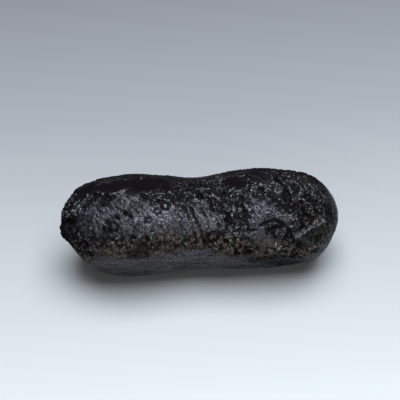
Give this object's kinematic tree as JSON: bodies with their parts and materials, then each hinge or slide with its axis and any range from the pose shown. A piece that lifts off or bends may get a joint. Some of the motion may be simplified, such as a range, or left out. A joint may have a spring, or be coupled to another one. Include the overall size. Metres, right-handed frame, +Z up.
{
  "type": "tektite",
  "caption": "Dumbbell of black natural glass lying on its side, with a knobbed end, a round end, creases at the waist and belts of crowded pits.",
  "frame": {"origin": "under the middle of the stone's box, on the surface that it rests on", "axes": "+X along the stone to its round end, -Y to its front, +Z up"},
  "size_m": [0.0724, 0.027, 0.0264],
  "materials": {
    "glass": "etched black natural glass, satin with glossy pit walls"
  },
  "bodies": {
    "root": {"tektite": "glass"}
  },
  "joints": []
}
